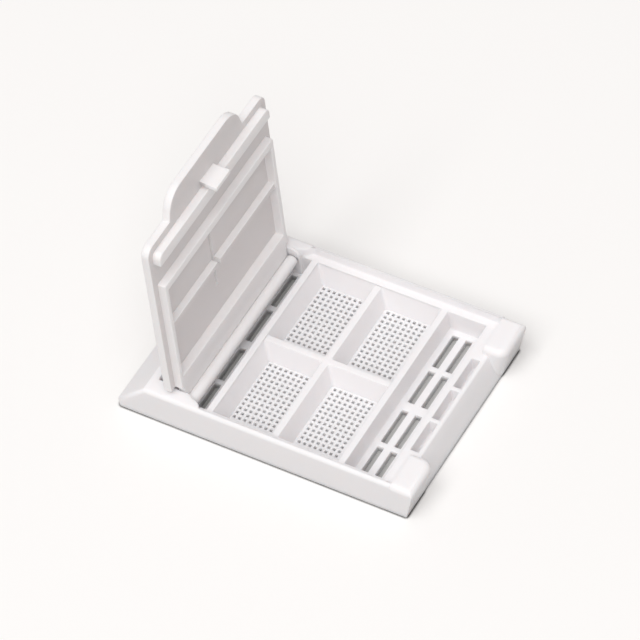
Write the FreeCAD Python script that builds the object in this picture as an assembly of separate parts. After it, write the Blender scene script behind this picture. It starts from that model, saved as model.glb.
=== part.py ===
"""Tissue cassette: a moulded base with four mesh-floored compartments and its hinged lid.

Millimetres, +Z up.  The origin is on the underside of the base, at the middle of its
length and width.  +X runs from the hinge and writing face to the finger tab.
The lid is modelled standing open, square to the base, and closes by turning about Y.
"""
import FreeCAD, Part

import math
import os

from FreeCAD import Vector

# Base, overall.
LENGTH = 40.8            # foot of the writing face to the tips of the end lobes
WIDTH = 28.5             # over the rim
RIM_HEIGHT = 5.35
FLOOR = 1.0              # slotted decks, and the height of the mesh floors
SIDE_DRAFT = 0.25        # each long side leans out this far from foot to rim
END_DRAFT = 1.4          # the same at the lobed end
RIM_BAND = 0.6           # rim left standing beside the lid seat
SIDE_SEAT = 0.955        # ledge between the rim and the compartments
RIM_ROUND = 0.5          # rounding along the rim, the writing face's sides and the nose's corners
SEAT_DEPTH = 1.15        # lid seat below the rim

# Writing face and the deck behind it.
WRITING_ANGLE = 45.0
WRITING_FOOT = 1.15      # upright nose below the writing face
DECK_LENGTH = 2.4
SHELL = 1.2              # wall over the hollow below the writing face
SHELL_RIB = 0.8

# Compartments.
PORE = 0.38
PORE_PITCH = 0.72
MESH = 0.45              # thickness of the mesh floors
MESH_MARGIN = 0.42       # least room from a pore centre to the foot of the wall
TAB_SIDE_EXTRA = 0.3     # the two compartments next to the tab are this much longer
WALL_LEAN = 0.7          # each compartment wall leans back this far over its height
WALL_CORNER = 0.3
CROSS_WALL = 0.75        # walls between compartments, at the top
END_WALL = 0.85          # walls at both ends of the compartments, at the top
CROSS_DROP = 0.15        # the cross walls stop this far below the seat

# Slotted decks.
SLOT_WIDTH = 0.88
SLOT_GAP = 0.7
SLOT_MIDDLE_GAP = 1.3
SLOT_MARGIN = 0.745      # outer slots to the side walls
SLOT_ROW_PITCH = 1.82
TAB_SLOT_START = 1.25    # end wall to the first row of slots
HINGE_SLOT_START = 2.3   # hinge wall to the middle of its row of slots
DECK_SLOT_WIDTH = 0.55
TROUGH = 5.4             # hinge trough, along X
LOW_DECK = 5.2           # slotted deck at the tab end, along X

# Tab end.
END_SEAT = 1.7           # low deck to the lobes
LOBE_LENGTH = 3.15       # along X, at the rim
LATCH_WIDTH = 1.1
LATCH_LENGTH = 4.7
LATCH_GAP = 0.55
LATCH_DEPTH = 2.0
LATCH_BAR = 0.4          # wall left between the latch pockets and the finger slope
FINGER_GAP = 17.2        # between the lobes
FINGER_SLOPE_DROP = 0.2  # the slope starts this far below the seat
LOBE_CORNER = 1.3        # upright corners of the lobes beside the finger slope
LOBE_ROUND = 0.8         # rounding along the top of the lobes

# Hinge.
HINGE_DROP = 1.66        # hinge axis below the rim
HINGE_FROM_DECK = 2.98   # from the edge of the writing deck
BARREL_RADIUS = 0.75
PIN_RADIUS = 0.45
PIN_LENGTH = 0.85
PIN_CLEARANCE = 0.08
BOSS_THICKNESS = 1.05    # rim boss, inwards from the edge of the lid seat
BOSS_CURVE = 2.8         # the boss runs back into the rim in this radius
EAR_THICKNESS = 0.27     # round-nosed ear on the inner side of the boss
EAR_ROUND = 1.5
EAR_REACH = 0.95         # from the hinge axis towards the compartments
BARREL_END_GAP = 0.2

# Lid.
LID_PLATE = 1.0
LID_PANEL = 0.85         # thinner plate inside the frame
LID_CORNER = 1.3
RIB_DEPTH = 1.0          # frame and ribs stand this far off the plate
LID_SIDE_CLEARANCE = 0.1
LID_END_CLEARANCE = 0.15
SEAT_CLEARANCE = 0.15    # frame of the closed lid above its seat
LID_START = 2.43         # from the hinge axis to the edge of the plate
FRAME_SETBACK = 0.95     # from the edge of the plate to the side frames
FRAME_WIDTH = 0.6        # side frames
HINGE_RIB_WIDTH = 1.9
END_RIB_WIDTH = 1.1
RIDGE_WIDTH = 1.75       # ridge that rests on the end seat
RIDGE_SETBACK = 1.15     # from the free end of the plate
RIDGE_SIDE_SETBACK = 0.85
RIDGE_CORNER = 0.8
PANEL_RIB_WIDTH = 0.8
PANEL_RIB_GAP = 0.6      # break in the panel rib at the seam
PANEL_RIB_DROP = 0.3     # panel ribs stay lower than the frame
PANEL_RIB_OFFSET = 1.04  # from the middle of the panel towards the free end
WEB = 0.95               # arm between the barrel and the plate
SEAM_PLACE = -1.2        # shallow seam along the panel, beside the middle of the lid
SEAM_WIDTH = 0.5
SEAM_DEPTH = 0.35
SEAM_LENGTH = 11.3       # from the rib at the free end
TAB_REACH = 3.6
TAB_ROOT = 16.8
TAB_TIP = 15.0
TAB_ROUND = 3.0
LUG_WIDTH = 3.2
LUG_THICKNESS = 0.65
LUG_REACH = 2.3
LUG_CLEARANCE = 0.1

# Levels and places that follow from the above.
SEAT = RIM_HEIGHT - SEAT_DEPTH
CROSS_TOP = SEAT - CROSS_DROP
HINGE_HEIGHT = RIM_HEIGHT - HINGE_DROP
HALF_WIDTH = WIDTH / 2
SEAT_HALF_WIDTH = HALF_WIDTH - RIM_BAND
INNER_HALF_WIDTH = SEAT_HALF_WIDTH - SIDE_SEAT
SLOT_LENGTH = (INNER_HALF_WIDTH - SLOT_MARGIN - SLOT_GAP - SLOT_MIDDLE_GAP / 2) / 2
BOSS_FACE = SEAT_HALF_WIDTH - BOSS_THICKNESS
EAR_FACE = BOSS_FACE - EAR_THICKNESS
X_NOSE = -LENGTH / 2
X_TIP = LENGTH / 2
X_DECK = X_NOSE + (RIM_HEIGHT - WRITING_FOOT) / math.tan(math.radians(WRITING_ANGLE))
X_TROUGH = X_DECK + DECK_LENGTH
X_HINGE = X_TROUGH + HINGE_FROM_DECK
X_HINGE_WALL = X_TROUGH + TROUGH
X_COMPARTMENTS = X_HINGE_WALL + END_WALL
X_LOBES = X_TIP - LOBE_LENGTH
X_END_SEAT = X_LOBES - END_SEAT
X_LOW_DECK = X_END_SEAT - LOW_DECK
X_END_WALL = X_LOW_DECK - END_WALL
OPENING = (X_END_WALL - X_COMPARTMENTS - CROSS_WALL - TAB_SIDE_EXTRA) / 2
OPENING_WIDTH = INNER_HALF_WIDTH - CROSS_WALL / 2
X_FOOT = X_TIP - END_DRAFT
LID_END = X_LOBES - LID_END_CLEARANCE - X_HINGE
X_LATCH = X_HINGE + LID_END - LUG_THICKNESS - LUG_CLEARANCE
FRAME_FACE = HINGE_HEIGHT - SEAT - SEAT_CLEARANCE    # along X from the hinge axis
PLATE_FACE = FRAME_FACE - RIB_DEPTH
PLATE_BACK = PLATE_FACE - LID_PLATE
PANEL_FACE = PLATE_BACK + LID_PANEL
LID_HALF_WIDTH = SEAT_HALF_WIDTH - LID_SIDE_CLEARANCE
FRAME_HALF_WIDTH = LID_HALF_WIDTH - FRAME_SETBACK
PANEL_HALF_WIDTH = FRAME_HALF_WIDTH - FRAME_WIDTH
BARREL_HALF = EAR_FACE - BARREL_END_GAP
OVER = 1.0               # cutting tools run this far past the surface they cut


def box(x0, x1, y0, y1, z0, z1):
    """Block between two corners."""
    return Part.makeBox(x1 - x0, y1 - y0, z1 - z0, Vector(x0, y0, z0))


def tapered_block(foot, z_foot, top, z_top):
    """Block with flat sides from one rectangle (x0, x1, y0, y1) up to another."""
    rings = []
    for (x0, x1, y0, y1), z in ((foot, z_foot), (top, z_top)):
        rings.append([Vector(x0, y0, z), Vector(x1, y0, z), Vector(x1, y1, z), Vector(x0, y1, z)])
    low, high = rings
    faces = [flat_face(low[::-1]), flat_face(high)]
    for k in range(4):
        m = (k + 1) % 4
        faces.append(flat_face([low[k], low[m], high[m], high[k]]))
    return Part.Solid(Part.Shell(faces))


def upright_edges(block):
    """Edges that run most of the block's height."""
    height = block.BoundBox.ZLength
    return edges_at(block, lambda b: b.ZLength > 0.9 * height)


def flat_face(points):
    """Flat face with the given corners."""
    return Part.Face(Part.makePolygon(points + points[:1]))


def edges_at(shape, test):
    """Edges of the shape whose bounding box passes the test."""
    return [e for e in shape.Edges if test(e.BoundBox)]


def profile(points, y0, y1):
    """Solid with the outline (x, z) given, from y0 to y1."""
    return flat_face([Vector(x, y0, z) for x, z in points]).extrude(Vector(0, y1 - y0, 0))


def both_sides(shape):
    """The shape and its mirror image across the middle of the cassette."""
    return [shape, shape.mirror(Vector(0, 0, 0), Vector(0, 1, 0))]


# ---------------------------------------------------------------- base

def outer_body():
    """Block with leaning sides, cut back to the writing face and open between the lobes."""
    foot_half = HALF_WIDTH - SIDE_DRAFT
    body = tapered_block((X_NOSE, X_FOOT, -foot_half, foot_half), 0,
                         (X_NOSE, X_TIP, -HALF_WIDTH, HALF_WIDTH), RIM_HEIGHT)
    above = profile([(X_NOSE - OVER, WRITING_FOOT - OVER), (X_DECK + OVER, RIM_HEIGHT + OVER),
                     (X_NOSE - OVER, RIM_HEIGHT + OVER)], -WIDTH, WIDTH)
    return body.cut(above)


def middle_body():
    """The outer body up to the lobes, rounded along the rim, the writing face and the nose."""
    body = outer_body()
    body = body.common(box(X_NOSE - OVER, X_LOBES, -WIDTH, WIDTH, -OVER, WIDTH))
    edges = edges_at(body, lambda b: b.ZMin > RIM_HEIGHT - 0.01 and b.YLength < 0.01)
    edges += edges_at(body, lambda b: b.ZLength > WRITING_FOOT / 2 and b.XMax < X_DECK + 0.01)
    return body.makeFillet(RIM_ROUND, edges)


def lobe():
    """One end lobe, rounded at its corners and along its top, except where it joins the rim."""
    inner = FINGER_GAP / 2
    block = outer_body().common(box(X_LOBES, X_TIP + OVER, inner, WIDTH, -OVER, WIDTH))
    corners = [e for e in upright_edges(block) if e.BoundBox.XMax > X_FOOT]
    block = block.makeFillet(LOBE_CORNER, [e for e in corners if e.BoundBox.YMax < inner + 0.01])
    edges = [e for e in upright_edges(block) if e.BoundBox.YMin > HALF_WIDTH - SIDE_DRAFT - 0.01
             and e.BoundBox.XMax > X_FOOT]
    edges += edges_at(block, lambda b: b.ZMin > RIM_HEIGHT - 0.01 and b.XMax > X_LOBES + 0.01)
    return block.makeFillet(LOBE_ROUND, edges)


def lid_seat():
    """Space above the seat, between the rims, from the hinge trough to the lobes."""
    return box(X_TROUGH, X_LOBES, -SEAT_HALF_WIDTH, SEAT_HALF_WIDTH, SEAT, RIM_HEIGHT + OVER)


def compartment_places():
    """Corners x0, x1, y0, y1 of the four compartments, at their top."""
    x_mid = X_COMPARTMENTS + OPENING
    y0 = CROSS_WALL / 2
    y1 = y0 + OPENING_WIDTH
    return [(x0, x1, ya, yb)
            for x0, x1 in ((X_COMPARTMENTS, x_mid), (x_mid + CROSS_WALL, X_END_WALL))
            for ya, yb in ((-y1, -y0), (y0, y1))]


def compartment(x0, x1, y0, y1):
    """Tapered space over one mesh floor."""
    lean = WALL_LEAN
    foot = (x0 + lean, x1 - lean, y0 + lean, y1 - lean)
    space = tapered_block(foot, FLOOR, (x0, x1, y0, y1), SEAT)
    return space.makeFillet(WALL_CORNER, upright_edges(space))


def compartments():
    """The four spaces, and the lower level of the cross walls between them."""
    spaces = [compartment(*place) for place in compartment_places()]
    spaces.append(box(X_COMPARTMENTS, X_END_WALL, -INNER_HALF_WIDTH, INNER_HALF_WIDTH,
                      CROSS_TOP, SEAT + OVER))
    return spaces


def mesh_recesses():
    """Shallow recesses in the underside that leave the mesh floors thin."""
    return [box(x0 + WALL_LEAN, x1 - WALL_LEAN, y0 + WALL_LEAN, y1 - WALL_LEAN,
                -OVER, FLOOR - MESH)
            for x0, x1, y0, y1 in compartment_places()]


def slot_starts():
    """Near ends of the four slots of one row, along Y."""
    first = SLOT_MIDDLE_GAP / 2
    second = first + SLOT_LENGTH + SLOT_GAP
    return [-second - SLOT_LENGTH, -first - SLOT_LENGTH, first, second]


def slot_row(x, width, z0, z1):
    """Four slots along Y, centred on x."""
    return [box(x - width / 2, x + width / 2, y, y + SLOT_LENGTH, z0, z1)
            for y in slot_starts()]


def hollow_ends():
    """Hinge trough and low deck, sunk to the slotted floors."""
    reach = INNER_HALF_WIDTH
    trough = box(X_TROUGH, X_HINGE_WALL, -reach, reach, FLOOR, RIM_HEIGHT + OVER)
    low_deck = box(X_LOW_DECK, X_END_SEAT, -reach, reach, FLOOR, RIM_HEIGHT + OVER)
    return [trough, low_deck]


def all_slots():
    """Every row of drain slots."""
    first = X_LOW_DECK + TAB_SLOT_START
    rows = slot_row(first, SLOT_WIDTH, -OVER, FLOOR + OVER)
    rows += slot_row(first + SLOT_ROW_PITCH, SLOT_WIDTH, -OVER, FLOOR + OVER)
    rows += slot_row(X_HINGE_WALL - HINGE_SLOT_START, SLOT_WIDTH, -OVER, FLOOR + OVER)
    rows += slot_row(X_TROUGH - DECK_LENGTH / 2, DECK_SLOT_WIDTH, SHELL, RIM_HEIGHT + OVER)
    return rows


def latch_pockets():
    """Three pockets in a row for the lug of the lid."""
    pitch = LATCH_LENGTH + LATCH_GAP
    return [box(X_LATCH, X_LATCH + LATCH_WIDTH, k * pitch - LATCH_LENGTH / 2,
                k * pitch + LATCH_LENGTH / 2, SEAT - LATCH_DEPTH, RIM_HEIGHT + OVER)
            for k in (-1, 0, 1)]


def finger_slope():
    """End wall between the lobes, sloping down from the latch pockets to the foot."""
    x_top = X_LATCH + LATCH_WIDTH + LATCH_BAR
    half = FINGER_GAP / 2 + LOBE_CORNER
    outline = [(X_LOBES, 0), (X_LOBES, SEAT), (x_top, SEAT),
               (x_top + FINGER_SLOPE_DROP, SEAT - FINGER_SLOPE_DROP), (X_FOOT, 0)]
    return profile(outline, -half, half)


def writing_hollow():
    """Hollow below the writing face, with ribs left across it."""
    lean = SHELL / math.sin(math.radians(WRITING_ANGLE))
    x0 = X_NOSE + SHELL
    top = RIM_HEIGHT - SHELL
    z0 = max(WRITING_FOOT + (x0 - X_NOSE) - lean, 0.2)
    outline = [(x0, -OVER), (x0, z0), (X_DECK + top - RIM_HEIGHT + lean, top),
               (X_TROUGH - SHELL, top), (X_TROUGH - SHELL, -OVER)]
    half = HALF_WIDTH - SIDE_DRAFT - SHELL - 0.2
    hollow = profile(outline, -half, half)
    middle = SLOT_MIDDLE_GAP / 2 + SLOT_LENGTH + SLOT_GAP / 2
    ribs = [box(X_NOSE, X_TROUGH, y - SHELL_RIB / 2, y + SHELL_RIB / 2, 0, RIM_HEIGHT)
            for y in (-middle, 0, middle)]
    return hollow.cut(Part.makeCompound(ribs))


def hinge_boss():
    """Thickening of the rim at one end of the hinge, running back into it in a curve."""
    x_bend = X_HINGE
    depth = BOSS_THICKNESS
    run = math.sqrt(2 * BOSS_CURVE * depth - depth * depth)
    middle_angle = math.asin(run / BOSS_CURVE) / 2
    edge = -SEAT_HALF_WIDTH
    bend = Vector(x_bend, edge + depth, FLOOR)
    centre = Vector(x_bend, edge + depth - BOSS_CURVE, FLOOR)
    middle = centre + Vector(math.sin(middle_angle), math.cos(middle_angle), 0) * BOSS_CURVE
    end = Vector(x_bend + run, edge, FLOOR)
    corners = [end, Vector(x_bend + run, edge - 0.1, FLOOR),
               Vector(X_TROUGH - 0.1, edge - 0.1, FLOOR),
               Vector(X_TROUGH - 0.1, edge + depth, FLOOR), bend]
    lines = [Part.makeLine(a, b) for a, b in zip(corners, corners[1:])]
    arc = Part.Arc(bend, middle, end).toShape()
    face = Part.Face(Part.Wire(lines + [arc]))
    return face.extrude(Vector(0, 0, RIM_HEIGHT - FLOOR))


def hinge_ear():
    """Ear round one pin, its nose rounded."""
    ear = box(X_TROUGH - 0.1, X_HINGE + EAR_REACH, -BOSS_FACE - EAR_THICKNESS, -EAR_FACE,
              FLOOR - 0.1, RIM_HEIGHT)
    nose = edges_at(ear, lambda b: b.XMin > X_HINGE and b.ZMin > RIM_HEIGHT - 0.01)
    return ear.makeFillet(EAR_ROUND, nose)


def hinge_sockets():
    """Blind holes for the two pins of the lid."""
    depth = PIN_LENGTH
    radius = PIN_RADIUS + PIN_CLEARANCE
    socket = Part.makeCylinder(radius, depth, Vector(X_HINGE, -EAR_FACE, HINGE_HEIGHT),
                               Vector(0, -1, 0))
    return both_sides(socket)


def pore_places(start, end):
    """Centres of as many pores as fit between two walls, in the middle of the room."""
    count = int((end - start - 2 * MESH_MARGIN) / PORE_PITCH + 1e-6) + 1
    first = (start + end - (count - 1) * PORE_PITCH) / 2
    return [first + k * PORE_PITCH for k in range(count)]


def mesh_pores():
    """Square pores through the four mesh floors."""
    half = PORE / 2
    return [box(x - half, x + half, y - half, y + half, -OVER, FLOOR + OVER)
            for x0, x1, y0, y1 in compartment_places()
            for x in pore_places(x0 + WALL_LEAN, x1 - WALL_LEAN)
            for y in pore_places(y0 + WALL_LEAN, y1 - WALL_LEAN)]


def base():
    """The moulded base in one piece."""
    body = middle_body().fuse(both_sides(lobe()) + [finger_slope()])
    spaces = [lid_seat(), writing_hollow()]
    spaces += compartments() + mesh_recesses() + hollow_ends() + all_slots() + latch_pockets()
    spaces += mesh_pores()
    body = body.cut(spaces)
    body = body.fuse(both_sides(hinge_boss()) + both_sides(hinge_ear())).removeSplitter()
    body = body.cut(hinge_sockets())
    return body.Solids[0]


# ---------------------------------------------------------------- lid

def upright_box(face, depth, y0, y1, s0, s1):
    """Block on the open lid: from face to face + depth in X, s0 to s1 above the hinge."""
    return box(X_HINGE + face, X_HINGE + face + depth, y0, y1,
               HINGE_HEIGHT + s0, HINGE_HEIGHT + s1)


def lid_plate():
    """Plate with rounded free corners and the thinner panel inside its frame."""
    plate = upright_box(PLATE_BACK, LID_PLATE, -LID_HALF_WIDTH, LID_HALF_WIDTH,
                        LID_START, LID_END)
    free = HINGE_HEIGHT + LID_END
    plate = plate.makeFillet(LID_CORNER, edges_at(
        plate, lambda b: b.ZMin > free - 0.01 and b.YLength < 0.01))
    panel = upright_box(PANEL_FACE, LID_PLATE, -PANEL_HALF_WIDTH, PANEL_HALF_WIDTH,
                        LID_START + HINGE_RIB_WIDTH, end_rib_start())
    seam = upright_box(PANEL_FACE - SEAM_DEPTH, LID_PLATE, SEAM_PLACE - SEAM_WIDTH / 2,
                       SEAM_PLACE + SEAM_WIDTH / 2, end_rib_start() - SEAM_LENGTH, end_rib_start())
    return plate.cut([panel, seam])


def end_rib_start():
    """Lower edge of the rib that covers the end wall of the compartments."""
    middle = X_END_WALL + END_WALL / 2 - X_HINGE
    return middle - END_RIB_WIDTH / 2


def lid_frame():
    """Side frames and cross ribs on the inner face."""
    end_rib = end_rib_start()
    pieces = both_sides(upright_box(PLATE_FACE, RIB_DEPTH, -FRAME_HALF_WIDTH, -PANEL_HALF_WIDTH,
                                    LID_START, end_rib + END_RIB_WIDTH))
    for start, width in ((LID_START, HINGE_RIB_WIDTH), (end_rib, END_RIB_WIDTH)):
        pieces.append(upright_box(PLATE_FACE, RIB_DEPTH, -PANEL_HALF_WIDTH, PANEL_HALF_WIDTH,
                                  start, start + width))
    return pieces


def lid_ridge():
    """Ridge across the lid that rests on the end seat, with its free corners rounded."""
    top = LID_END - RIDGE_SETBACK
    half = LID_HALF_WIDTH - RIDGE_SIDE_SETBACK
    ridge = upright_box(PLATE_FACE, RIB_DEPTH, -half, half, top - RIDGE_WIDTH, top)
    return ridge.makeFillet(RIDGE_CORNER, edges_at(
        ridge, lambda b: b.ZMin > HINGE_HEIGHT + top - 0.01 and b.YLength < 0.01))


def panel_ribs():
    """Low rib across the panel, broken where the seam crosses it."""
    depth = FRAME_FACE - PANEL_RIB_DROP - PANEL_FACE
    middle = (LID_START + HINGE_RIB_WIDTH + end_rib_start()) / 2 + PANEL_RIB_OFFSET
    low = middle - PANEL_RIB_WIDTH / 2
    return [upright_box(PANEL_FACE, depth, y0, y1, low, low + PANEL_RIB_WIDTH)
            for y0, y1 in ((-PANEL_HALF_WIDTH, SEAM_PLACE - PANEL_RIB_GAP / 2),
                           (SEAM_PLACE + PANEL_RIB_GAP / 2, PANEL_HALF_WIDTH))]


def finger_tab():
    """Tapered tab with rounded corners beyond the free end."""
    x = X_HINGE + PLATE_BACK
    root = HINGE_HEIGHT + LID_END - OVER
    tip = HINGE_HEIGHT + LID_END + TAB_REACH
    outline = [Vector(x, y, z) for y, z in
               ((-TAB_ROOT / 2, root), (TAB_ROOT / 2, root), (TAB_ROOT / 2, root + OVER),
                (TAB_TIP / 2, tip), (-TAB_TIP / 2, tip), (-TAB_ROOT / 2, root + OVER))]
    tab = flat_face(outline).extrude(Vector(LID_PLATE, 0, 0))
    corners = [e for e in tab.Edges
               if e.BoundBox.ZMin > tip - 0.01 and e.BoundBox.YLength < 0.01]
    return tab.makeFillet(TAB_ROUND, corners)


def latch_lug():
    """Lug that drops into the middle latch pocket."""
    return upright_box(PLATE_FACE, LUG_REACH, -LUG_WIDTH / 2, LUG_WIDTH / 2,
                       LID_END - LUG_THICKNESS, LID_END)


def hinge_barrel():
    """Round bar on the hinge axis, its pins, and the arm up to the plate."""
    axis = Vector(0, 1, 0)
    barrel = Part.makeCylinder(BARREL_RADIUS, 2 * BARREL_HALF,
                               Vector(X_HINGE, -BARREL_HALF, HINGE_HEIGHT), axis)
    pin_half = BARREL_HALF + PIN_LENGTH
    pins = Part.makeCylinder(PIN_RADIUS, 2 * pin_half,
                             Vector(X_HINGE, -pin_half, HINGE_HEIGHT), axis)
    arm = upright_box(FRAME_FACE - WEB, WEB, -BARREL_HALF, BARREL_HALF, 0, LID_START + 0.5)
    return [barrel, pins, arm]


def lid():
    """The moulded lid in one piece."""
    pieces = lid_frame() + panel_ribs() + [lid_ridge(), finger_tab(), latch_lug()]
    pieces += hinge_barrel()
    return lid_plate().fuse(pieces).removeSplitter().Solids[0]


def main():
    os.makedirs("parts", exist_ok=True)
    for name, shape in (("base", base()), ("lid", lid())):
        shape.exportStep("parts/" + name + ".step")
        print(name, shape.isValid(), len(shape.Solids), round(shape.Volume, 2),
              [round(v, 2) for v in (shape.BoundBox.XMin, shape.BoundBox.XMax,
                                     shape.BoundBox.YMin, shape.BoundBox.YMax,
                                     shape.BoundBox.ZMin, shape.BoundBox.ZMax)])


main()
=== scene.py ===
"""Finish and studio for an open tissue cassette: softened mouldings in white acetal plastic."""
import math

import bmesh
import bpy
import numpy as np
from bpy.props import FloatProperty, FloatVectorProperty, IntProperty, PointerProperty
from bpy.types import Operator, Panel, PropertyGroup
from mathutils import Matrix, Vector


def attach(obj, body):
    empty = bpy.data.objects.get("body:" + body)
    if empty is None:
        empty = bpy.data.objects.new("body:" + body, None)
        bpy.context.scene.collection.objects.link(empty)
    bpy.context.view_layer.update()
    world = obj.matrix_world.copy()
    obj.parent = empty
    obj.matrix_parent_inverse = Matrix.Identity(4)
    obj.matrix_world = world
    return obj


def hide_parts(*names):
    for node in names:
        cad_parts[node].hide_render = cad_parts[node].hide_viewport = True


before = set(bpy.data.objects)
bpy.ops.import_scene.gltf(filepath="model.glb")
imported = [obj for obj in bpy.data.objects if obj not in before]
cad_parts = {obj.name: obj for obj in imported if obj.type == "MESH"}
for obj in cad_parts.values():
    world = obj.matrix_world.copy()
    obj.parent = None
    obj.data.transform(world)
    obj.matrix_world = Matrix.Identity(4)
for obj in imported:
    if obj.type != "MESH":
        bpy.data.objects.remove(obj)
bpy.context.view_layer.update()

bl_info = {
    "name": "Tissue cassette finish",
    "version": (1, 0, 0),
    "blender": (4, 5, 0),
    "location": "3D View > Sidebar > Cassette",
    "description": "Softens the edges of the cassette's mouldings, colours and lights them",
    "category": "Object",
}

MM = 0.001

# Boxes in metres, each from its low to its high corner.  Bent edges inside these keep only a share
# of the rounding, because the full width folds or spikes there: half of it at the low step round
# the compartments, and none elsewhere.
FOOT = ((-0.0210, -0.0150, -0.0001), (0.0210, 0.0150, 0.0001))
MESH_FLOORS = ((-0.0069, -0.012, 0.0005), (0.0089, 0.012, 0.0012))
LOBE_STEPS = ((0.0172, -0.015, 0.0044), (0.0173, 0.015, 0.0055))
SEAT_STEPS = ((-0.0080, -0.0128, 0.0040), (0.0100, 0.0128, 0.0043))
EAR_NOSES = ((-0.0120, -0.0128, 0.0040), (-0.0100, 0.0128, 0.0055))
NOSE_CORNERS = (((-0.0205, -0.0150, 0.0010), (-0.0160, -0.01353, 0.0055)),
                ((-0.0205, 0.01353, 0.0010), (-0.0160, 0.0150, 0.0055)))
RIB_FOOT = ((-0.01268, -0.0137, 0.0236), (-0.01258, 0.0137, 0.0250))
PANEL_SEAM = ((-0.0130, -0.0022, 0.0100), (-0.0110, -0.0004, 0.0320))
BASE_SHARES = ((FOOT, 0.0), (MESH_FLOORS, 0.0), (LOBE_STEPS, 0.0), (SEAT_STEPS, 0.5),
               (EAR_NOSES, 0.0), *((corner, 0.0) for corner in NOSE_CORNERS))
LID_SHARES = ((PANEL_SEAM, 0.0), (RIB_FOOT, 0.0))

# Boxes that bound the frosted finish and painted light and shade: the lid's thin plate, whose inner
# faces get painted shade, the frosted writing face, the floor below the base, which gets painted
# shade, and the floor below its mesh floors, which gets painted light.  After them, the depths over
# which these fade in.
LID_PLATE = ((-0.0136, -0.0137, 0.0060), (-0.01165, 0.0137, 0.0353))
WRITING_FACE = ((-0.0205, -0.0150, 0.0000), (-0.0162, 0.0150, 0.0054))
BELOW_BASE = ((-0.0195, -0.0135, -0.0010), (0.0172, 0.0135, 0.0010))
BELOW_MESH = ((-0.0069, -0.0120, -0.0010), (0.0089, 0.0120, 0.0010))
THIN_FADE = 0.05 * MM
FROST_FADE = 0.1 * MM
BELOW_FADE = 0.2 * MM

# Joining of a moulding's loose triangles, and the share of another edge's length under which an
# edge counts as the shorter.
SAME_POINT = 0.002 * MM
SAME_PLANE = math.radians(0.5)
SHORTER = 0.999

# Plastic: the share of a colour that the darkest clouds leave, the clouds' useful range of values,
# what they add to the roughness at its two ends, each grain's strength and depth, what frosting
# adds to the roughness, the X of a face's direction where the thin plate's painted shade fades in,
# and how the plastic bends and scatters light.
CLOUD_LEAVES = 0.975
CLOUD_LEAVES_THIN = 0.97
CLOUD_RANGE = (0.3, 0.7)
CLOUD_DULLS = (-0.04, 0.05)
GRAIN_BUMP = (0.25, 0.02 * MM)
FROST_BUMP = (0.5, 0.05 * MM)
FROST_DULLS = 0.15
FACING_X = (0.8, 0.95)
REFRACTION = 1.48
SCATTER = (1.0, 0.9, 0.85)
SCATTER_DEPTH = 1.0 * MM

# Studio: the floor's half width, the points along its side, its distance below the cassette and
# the share of open sky between its painted contact shadow and its plain colour; the key panel's
# place and side.
FLOOR_REACH = 1.5
FLOOR_POINTS = 9
FLOOR_DROP = 0.02 * MM
OPEN_SKY = (0.5, 0.95)
KEY_DIRECTION = (0.10, -0.45, 0.89)
KEY_DISTANCE = 1.6
KEY_SIZE = 1.4


# ---------------------------------------------------------------- settings

class CassetteMoulding(PropertyGroup):
    """Sizes of what the mould leaves on the plastic."""
    edge_round: FloatProperty(
        name="Edge round", description="Width of the rounding along the outer edges",
        default=0.1 * MM, min=0.0, subtype="DISTANCE", unit="LENGTH")
    edge_steps: IntProperty(
        name="Edge steps", description="Strips that each rounding is made of", default=2, min=1,
        max=4)
    sharp_from: FloatProperty(
        name="Sharp from", description="Edges bent more than this are rounded",
        default=math.radians(40), subtype="ANGLE", unit="ROTATION")
    narrow_below: FloatProperty(
        name="Narrow below",
        description="Of two edges this close together, the shorter stays sharp",
        default=math.radians(35), subtype="ANGLE", unit="ROTATION")
    grain_size: FloatProperty(
        name="Grain", description="Size of the fine grain that the mould wall leaves",
        default=0.16 * MM, min=0.01 * MM, subtype="DISTANCE", unit="LENGTH")
    frost_size: FloatProperty(
        name="Frosting", description="Size of the coarser grain on the writing face",
        default=0.22 * MM, min=0.01 * MM, subtype="DISTANCE", unit="LENGTH")
    flow_size: FloatProperty(
        name="Flow", description="Size of the faint cloudiness left where the plastic flowed",
        default=9 * MM, min=0.1 * MM, subtype="DISTANCE", unit="LENGTH")


class CassettePlastic(PropertyGroup):
    """Colour and gloss of the white plastic."""
    base_colour: FloatVectorProperty(
        name="Base colour", description="Colour of the base", subtype="COLOR",
        default=(0.90, 0.885, 0.892), min=0.0, max=1.0)
    lid_colour: FloatVectorProperty(
        name="Lid colour", description="Colour of the lid", subtype="COLOR",
        default=(0.89, 0.872, 0.870), min=0.0, max=1.0)
    # Painted shade: the darker colour given to the inner faces of the lid's thin plate.
    thin_plate_painted_shade: FloatVectorProperty(
        name="Thin wall colour", description="Colour of the lid's thin plate on its inner side",
        subtype="COLOR", default=(0.735, 0.708, 0.705), min=0.0, max=1.0)
    roughness: FloatProperty(
        name="Roughness", description="How dull the moulded surface is", default=0.42, min=0.0,
        max=1.0, subtype="FACTOR")
    translucency: FloatProperty(
        name="Translucency", description="How much light spreads below the surface", default=0.5,
        min=0.0, max=1.0, subtype="FACTOR")


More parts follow.
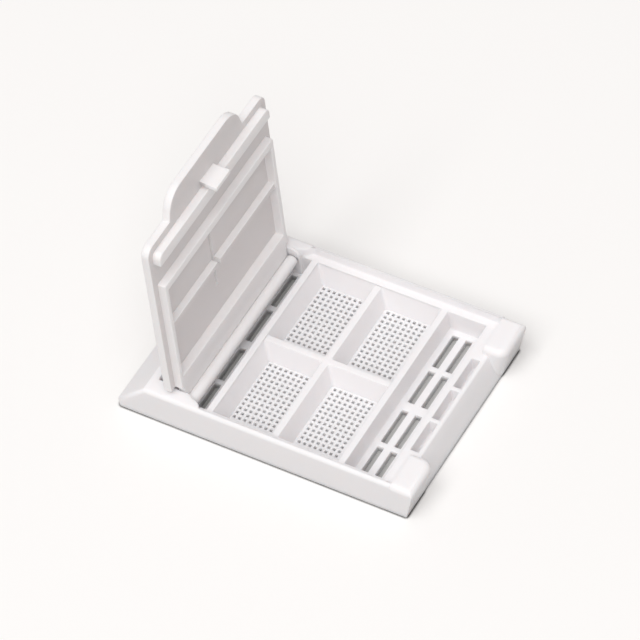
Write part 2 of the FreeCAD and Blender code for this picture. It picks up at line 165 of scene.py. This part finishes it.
class StudioSettings(PropertyGroup):
    """Camera, lamps and floor."""
    aim: FloatVectorProperty(
        name="Aim", description="Point that the camera looks at", subtype="XYZ", unit="LENGTH",
        default=(-0.00008, 0.00101, 0.01))
    distance: FloatProperty(
        name="Distance", description="From the camera to the aim point", default=0.65567,
        subtype="DISTANCE", unit="LENGTH")
    azimuth: FloatProperty(
        name="Azimuth", description="Turn of the camera round the cassette, 0 looks along +Y",
        default=math.radians(35.564), subtype="ANGLE", unit="ROTATION")
    elevation: FloatProperty(
        name="Elevation", description="Height of the camera above the horizon",
        default=math.radians(50.174), subtype="ANGLE", unit="ROTATION")
    roll: FloatProperty(
        name="Roll", description="Turn of the camera about its own line of sight",
        default=math.radians(-7.98), subtype="ANGLE", unit="ROTATION")
    focal_length: FloatProperty(
        name="Focal length", description="In millimetres, on a 36 mm wide sensor", default=312.4,
        min=1.0)
    key_strength: FloatProperty(
        name="Key", description="Light that the key panel throws on a level surface",
        default=0.68, min=0.0)
    sky_strength: FloatProperty(
        name="Sky", description="Even light from all round", default=0.50, min=0.0)
    sky_colour: FloatVectorProperty(
        name="Sky colour", description="Colour of the even light", subtype="COLOR",
        default=(1.0, 0.965, 0.965), min=0.0, max=1.0)
    floor_colour: FloatVectorProperty(
        name="Floor", description="Colour of the floor", subtype="COLOR",
        default=(0.935, 0.93, 0.915), min=0.0, max=1.0)
    floor_bounce: FloatProperty(
        name="Floor bounce", description="Share of its colour that the floor shows the cassette",
        default=0.68, min=0.0, max=1.0, subtype="FACTOR")
    # Painted shade: the darker share of the floor's colour below the cassette, seen through the
    # slots.
    floor_painted_shade: FloatProperty(
        name="Covered floor",
        description="Share of the floor's colour below the cassette, which the slots show",
        default=0.56, min=0.0, max=1.0, subtype="FACTOR")
    # Painted contact shadow: the width of the dark line painted on the floor along the cassette.
    contact: FloatProperty(
        name="Contact", description="Width of the dark line where the cassette meets the floor",
        default=0.35 * MM, min=0.0, subtype="DISTANCE", unit="LENGTH")
    contact_shade: FloatProperty(
        name="Contact shade", description="Share of the floor's colour that is left in that line",
        default=0.12, min=0.0, max=1.0, subtype="FACTOR")


# ---------------------------------------------------------------- materials

def node(tree, kind, inputs=None, **values):
    """A shader node with its plain values set.

    inputs maps a socket to a plain value or to the output of another node.
    """
    made = tree.nodes.new(kind)
    for key, value in values.items():
        setattr(made, key, value)
    for key, value in (inputs or {}).items():
        if isinstance(value, bpy.types.NodeSocket):
            tree.links.new(value, made.inputs[key])
        else:
            made.inputs[key].default_value = value
    return made


def maths(tree, operation, *values, **settings):
    """The result of one operation on numbers."""
    return node(tree, "ShaderNodeMath", dict(enumerate(values)), operation=operation,
                **settings).outputs["Value"]


def vector_maths(tree, operation, *values):
    """The result of one operation on vectors."""
    return node(tree, "ShaderNodeVectorMath", dict(enumerate(values)),
                operation=operation).outputs["Vector"]


def spread(tree, value, low, high, to_low=0.0, to_high=1.0):
    """The value carried from the range low to high to another, and held at its ends.

    It is to_low and the value's share of the way from low to high times to_high less to_low.
    """
    return node(tree, "ShaderNodeMapRange", {
        "Value": value, "From Min": low, "From Max": high, "To Min": to_low,
        "To Max": to_high}).outputs["Result"]


def noise(tree, place, size, detail, roughness):
    """Noise with lumps of about the given size: its scale is one over the size."""
    return node(tree, "ShaderNodeTexNoise", {
        "Vector": place, "Scale": 1 / size, "Detail": detail,
        "Roughness": roughness}).outputs["Fac"]


def mixed(tree, factor, a, b):
    """Colour a where factor is 0 and b where it is 1."""
    return node(tree, "ShaderNodeMix", {"Factor": factor, "A": a, "B": b},
                data_type="RGBA").outputs["Result"]


def opaque(colour, share=1.0):
    """A share of a colour, with full alpha."""
    return (*[part * share for part in colour], 1.0)


def inside(tree, place, low, high, edge):
    """How far a point is inside a box: 0 at its faces and outside, 1 from the depth edge inwards.

    The depth below the nearest face is the smallest of half the box's size less the distance from
    its middle, taken along X, Y and Z.
    """
    middle = [(a + b) / 2 for a, b in zip(low, high)]
    half = [(b - a) / 2 for a, b in zip(low, high)]
    away = vector_maths(tree, "ABSOLUTE", vector_maths(tree, "SUBTRACT", place, middle))
    depth = vector_maths(tree, "SUBTRACT", half, away)
    along = node(tree, "ShaderNodeSeparateXYZ", {"Vector": depth}).outputs
    least = maths(tree, "MINIMUM", maths(tree, "MINIMUM", along["X"], along["Y"]), along["Z"])
    return spread(tree, least, 0.0, edge)


def moulded_plastic(name, colour, moulding, plastic, frosted=None, thin=None):
    """White acetal.

    Colour: the plain colour, darkened by up to two and a half parts in a hundred by a slow noise,
    the flow clouds.  In the box thin, faces that look along +X, the inside of the lid's thin plate,
    get painted shade: the darker thin colour, in place of the light that leaves through the thin
    wall's back.  The clouds darken it by up to three parts in a hundred.
    Roughness: the plain roughness, a little up and down with the same clouds.
    Height: fine noise, the grain of the mould wall.  In the box frosted, a coarser and deeper noise
    is added, and the surface is duller.
    """
    material = bpy.data.materials.new(name)
    material.use_nodes = True
    tree = material.node_tree
    tree.nodes.clear()
    place = node(tree, "ShaderNodeTexCoord").outputs["Object"]
    clouds = noise(tree, place, moulding.flow_size, 3.0, 0.6)
    grain = noise(tree, place, moulding.grain_size, 2.0, 0.5)
    shade = mixed(tree, clouds, opaque(colour, CLOUD_LEAVES), opaque(colour))
    # Painted shade: in the box thin, faces that look along +X get the darker thin colour.
    if thin is not None:
        thin_painted_shade = mixed(tree, clouds, opaque(plastic.thin_plate_painted_shade, CLOUD_LEAVES_THIN),
                       opaque(plastic.thin_plate_painted_shade))
        facing = node(tree, "ShaderNodeSeparateXYZ", {
            "Vector": node(tree, "ShaderNodeTexCoord").outputs["Normal"]}).outputs["X"]
        where = maths(tree, "MULTIPLY", inside(tree, place, *thin, THIN_FADE),
                      spread(tree, facing, *FACING_X))
        shade = mixed(tree, where, shade, thin_painted_shade)
    dull = spread(tree, clouds, *CLOUD_RANGE, *(plastic.roughness + more for more in CLOUD_DULLS))
    bump = node(tree, "ShaderNodeBump", {
        "Height": grain, "Strength": GRAIN_BUMP[0], "Distance": GRAIN_BUMP[1]}).outputs["Normal"]
    if frosted is not None:
        writing = inside(tree, place, *frosted, FROST_FADE)
        depth = maths(tree, "MULTIPLY", noise(tree, place, moulding.frost_size, 3.0, 0.65), writing)
        bump = node(tree, "ShaderNodeBump", {
            "Height": depth, "Strength": FROST_BUMP[0], "Distance": FROST_BUMP[1],
            "Normal": bump}).outputs["Normal"]
        dull = maths(tree, "MULTIPLY_ADD", writing, FROST_DULLS, dull)
    shader = node(tree, "ShaderNodeBsdfPrincipled", {
        "Base Color": shade, "Roughness": dull, "Normal": bump, "IOR": REFRACTION,
        "Subsurface Weight": plastic.translucency, "Subsurface Radius": SCATTER,
        "Subsurface Scale": SCATTER_DEPTH})
    node(tree, "ShaderNodeOutputMaterial", {"Surface": shader.outputs["BSDF"]})
    return material


# ---------------------------------------------------------------- mouldings

def softened(cad_node, name, moulding, shares):
    """A copy of a moulding with its edges rounded.

    The copy's loose triangles are joined at their corners, and pairs in one plane are made one
    face.  Each edge bent more than the given angle gets a bevel.  Edges within a box of shares get
    the share of its width that stands with the box.  The shorter of two edges that leave a corner
    less than the given angle apart stays sharp, because a bevel would overshoot there.  Shading
    follows the large faces, so flat ones stay flat up to their rounded edges.
    """
    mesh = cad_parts[cad_node].data.copy()
    mesh.name = name
    shape = bmesh.new()
    shape.from_mesh(mesh)
    bmesh.ops.remove_doubles(shape, verts=shape.verts, dist=SAME_POINT)
    bmesh.ops.join_triangles(shape, faces=shape.faces, angle_face_threshold=SAME_PLANE,
                             angle_shape_threshold=math.pi)
    bend = np.array([edge.calc_face_angle(0.0) for edge in shape.edges])
    shape.to_mesh(mesh)
    shape.free()
    points = np.empty(len(mesh.vertices) * 3)
    mesh.vertices.foreach_get("co", points)
    points = points.reshape(-1, 3)
    ends = np.empty(len(mesh.edges) * 2, int)
    mesh.edges.foreach_get("vertices", ends)
    ends = ends.reshape(-1, 2)
    bent = bend > moulding.sharp_from
    share = bent.astype(np.float32)
    for (low, high), finer in shares:
        share[bent & ((points[ends] > low) & (points[ends] < high)).all((1, 2))] = finer
    rounded = share > 0
    share[rounded] *= ~overshooting(points, ends[rounded], moulding.narrow_below)
    for attribute, kind, values in (("bevel_weight_edge", "FLOAT", share),
                                    ("sharp_edge", "BOOLEAN", bent & (share == 0))):
        layer = mesh.attributes.get(attribute) or mesh.attributes.new(attribute, kind, "EDGE")
        layer.data.foreach_set("value", values)
    mesh.polygons.foreach_set("use_smooth", np.ones(len(mesh.polygons), bool))
    mesh.materials.clear()
    piece = bpy.data.objects.new(name, mesh)
    bpy.context.scene.collection.objects.link(piece)
    bevel = piece.modifiers.new("Edge round", "BEVEL")
    bevel.width = moulding.edge_round
    bevel.segments = moulding.edge_steps
    bevel.limit_method = "WEIGHT"
    bevel.use_clamp_overlap = False
    bevel.loop_slide = False
    shading = piece.modifiers.new("Flat faces", "WEIGHTED_NORMAL")
    shading.keep_sharp = True
    shading.weight = 100
    return piece


def overshooting(points, ends, narrow):
    """Which edges are the shorter of two that leave one corner less than the angle narrow apart.

    Each edge is taken from both of its ends.  Two such half edges belong together if they start at
    the same corner and the cosine between them is more than that of narrow.
    """
    start, other = ends.ravel(), ends[:, ::-1].ravel()
    away = points[other] - points[start]
    length = np.linalg.norm(away, axis=1)
    away /= length[:, None]
    narrower = (start[:, None] == start) & (away @ away.T > math.cos(narrow))
    return (narrower & (length[:, None] < length * SHORTER)).any(1).reshape(-1, 2).any(1)


class CASSETTE_OT_base(Operator):
    """Make the base moulding with rounded edges and its frosted writing face"""
    bl_idname = "cassette.base"
    bl_label = "Base moulding"

    def execute(self, context):
        moulding, plastic = context.scene.cassette_moulding, context.scene.cassette_plastic
        piece = softened("base", "base_moulding", moulding, BASE_SHARES)
        piece.data.materials.append(moulded_plastic(
            "White acetal, base", plastic.base_colour, moulding, plastic, frosted=WRITING_FACE))
        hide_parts("base")
        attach(piece, "base")
        return {"FINISHED"}


class CASSETTE_OT_lid(Operator):
    """Make the lid moulding with rounded edges"""
    bl_idname = "cassette.lid"
    bl_label = "Lid moulding"

    def execute(self, context):
        moulding, plastic = context.scene.cassette_moulding, context.scene.cassette_plastic
        piece = softened("lid", "lid_moulding", moulding, LID_SHARES)
        # The lid's material carries painted shade on the inner faces of its thin plate.
        piece.data.materials.append(moulded_plastic(
            "White acetal, lid", plastic.lid_colour, moulding, plastic, thin=LID_PLATE))
        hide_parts("lid")
        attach(piece, "lid")
        return {"FINISHED"}


# ---------------------------------------------------------------- studio

def floor_paint(tree, settings):
    """Colour of the floor.

    To the camera it has the floor's colour, and to the cassette a share of it.  Close to the
    cassette, where an ambient occlusion node finds little of the sky open, a thin line gets painted
    contact shadow.  Seen from above, the floor below the cassette gets painted shade, a darker
    colour, so that the slots look deep.  Below the mesh floors it gets painted light instead: its
    full colour for every ray, as if their thin walls let light through.
    """
    place = node(tree, "ShaderNodeTexCoord").outputs["Object"]
    covered = inside(tree, place, *BELOW_BASE, BELOW_FADE)
    seen = node(tree, "ShaderNodeLightPath").outputs["Is Camera Ray"]
    bounced, full, below, contact = [opaque(settings.floor_colour, share) for share in (
        settings.floor_bounce, 1.0, settings.floor_painted_shade, settings.contact_shade)]
    under = node(tree, "ShaderNodeNewGeometry").outputs["Backfacing"]
    covered = maths(tree, "SUBTRACT", covered, under, use_clamp=True)
    # Painted contact shadow: where the ambient occlusion node finds little open sky near the
    # cassette, the floor gets the dark contact colour.
    room = node(tree, "ShaderNodeAmbientOcclusion", {"Distance": settings.contact},
                samples=8).outputs["AO"]
    paint = mixed(tree, spread(tree, room, *OPEN_SKY), contact, mixed(tree, seen, bounced, full))
    # Painted shade: seen from above, the floor below the cassette gets the darker covered share.
    paint = mixed(tree, covered, paint, below)
    # Painted light: below the mesh floors the floor keeps its full colour for every ray, the
    # cassette's too.
    return mixed(tree, inside(tree, place, *BELOW_MESH, BELOW_FADE), paint, full)


def studio_floor(settings):
    """A level square much larger than the cassette, just below its underside."""
    steps = np.linspace(-FLOOR_REACH, FLOOR_REACH, FLOOR_POINTS)
    u, v = np.meshgrid(steps, steps, indexing="ij")
    points = np.stack([u, v, np.full_like(u, -FLOOR_DROP)], -1).reshape(-1, 3)
    index = np.arange(FLOOR_POINTS ** 2).reshape(FLOOR_POINTS, FLOOR_POINTS)
    corners = [index[:-1, :-1], index[1:, :-1], index[1:, 1:], index[:-1, 1:]]
    faces = np.stack(corners, -1).reshape(-1, 4)
    mesh = bpy.data.meshes.new("floor")
    mesh.from_pydata(points.tolist(), [], faces.tolist())
    floor = bpy.data.objects.new("floor", mesh)
    bpy.context.scene.collection.objects.link(floor)
    # The floor's material carries painted shade, painted light and a painted contact shadow.
    material = bpy.data.materials.new("Pale floor")
    material.use_nodes = True
    tree = material.node_tree
    tree.nodes.clear()
    matt = node(tree, "ShaderNodeBsdfDiffuse", {"Color": floor_paint(tree, settings)})
    node(tree, "ShaderNodeOutputMaterial", {"Surface": matt.outputs["BSDF"]})
    mesh.materials.append(material)


def panel_lamp(name, direction, distance, size, level):
    """A square lamp panel aimed at the cassette.

    Its power makes a level white surface below it about as bright as level.  Seen from far off, a
    panel of area A and radiance L gives L A cos(a) / d^2, which is pi times level, and its power is
    pi A L.
    """
    towards = Vector(direction).normalized()
    lamp = bpy.data.lights.new(name, "AREA")
    lamp.shape = "SQUARE"
    lamp.size = size
    lamp.energy = math.pi * math.pi * level * distance ** 2 / towards.z
    holder = bpy.data.objects.new(name, lamp)
    holder.location = towards * distance
    holder.rotation_mode = "QUATERNION"
    holder.rotation_quaternion = towards.to_track_quat("Z", "Y")
    bpy.context.scene.collection.objects.link(holder)


def studio_sky(settings):
    """Even light from all round that shows as white to the camera and in reflections."""
    world = bpy.data.worlds.new("Studio")
    world.use_nodes = True
    tree = world.node_tree
    tree.nodes.clear()
    path = node(tree, "ShaderNodeLightPath").outputs
    seen = maths(tree, "MAXIMUM", path["Is Camera Ray"], path["Is Glossy Ray"])
    strength = spread(tree, seen, 0.0, 1.0, settings.sky_strength, 1.0)
    sky = node(tree, "ShaderNodeBackground", {
        "Color": opaque(settings.sky_colour), "Strength": strength})
    node(tree, "ShaderNodeOutputWorld", {"Surface": sky.outputs["Background"]})
    bpy.context.scene.world = world


def studio_camera(settings):
    """A long lens at the given distance from the aim point, rolled about its line of sight."""
    turn, height = settings.azimuth, settings.elevation
    back = Vector((math.sin(turn) * math.cos(height), -math.cos(turn) * math.cos(height),
                   math.sin(height)))
    lens = bpy.data.cameras.new("camera")
    lens.sensor_width = 36.0
    lens.lens = settings.focal_length
    lens.clip_start = 0.01
    lens.clip_end = 10.0
    camera = bpy.data.objects.new("camera", lens)
    camera.rotation_mode = "QUATERNION"
    camera.location = Vector(settings.aim) + back * settings.distance
    level = (-back).to_track_quat("-Z", "Y").to_matrix()
    camera.rotation_quaternion = (level @ Matrix.Rotation(settings.roll, 3, "Z")).to_quaternion()
    bpy.context.scene.collection.objects.link(camera)
    bpy.context.scene.camera = camera


class CASSETTE_OT_studio(Operator):
    """Make the floor, the lamps, the even sky light and the camera"""
    bl_idname = "cassette.studio"
    bl_label = "Studio"

    def execute(self, context):
        settings = context.scene.cassette_studio
        studio_floor(settings)
        studio_sky(settings)
        panel_lamp("key", KEY_DIRECTION, KEY_DISTANCE, KEY_SIZE, settings.key_strength)
        studio_camera(settings)
        context.scene.view_settings.view_transform = "Standard"
        return {"FINISHED"}


class CASSETTE_PT_sidebar(Panel):
    """Steps and settings of the cassette"""
    bl_idname = "CASSETTE_PT_sidebar"
    bl_label = "Tissue cassette"
    bl_space_type = "VIEW_3D"
    bl_region_type = "UI"
    bl_category = "Cassette"

    def draw(self, context):
        for operator in OPERATORS:
            self.layout.operator(operator.bl_idname)
        for group in (context.scene.cassette_moulding, context.scene.cassette_plastic,
                      context.scene.cassette_studio):
            box = self.layout.box()
            for name in group.__annotations__:
                box.prop(group, name)


GROUPS = {"cassette_moulding": CassetteMoulding, "cassette_plastic": CassettePlastic,
          "cassette_studio": StudioSettings}
OPERATORS = (CASSETTE_OT_base, CASSETTE_OT_lid, CASSETTE_OT_studio)


def register():
    for name, group in GROUPS.items():
        bpy.utils.register_class(group)
        setattr(bpy.types.Scene, name, PointerProperty(type=group))
    for operator in OPERATORS:
        bpy.utils.register_class(operator)
    bpy.utils.register_class(CASSETTE_PT_sidebar)


def unregister():
    bpy.utils.unregister_class(CASSETTE_PT_sidebar)
    for operator in reversed(OPERATORS):
        bpy.utils.unregister_class(operator)
    for name, group in GROUPS.items():
        delattr(bpy.types.Scene, name)
        bpy.utils.unregister_class(group)


def main():
    register()
    bpy.ops.cassette.base()
    bpy.ops.cassette.lid()
    bpy.ops.cassette.studio()


if __name__ == "__main__":
    main()
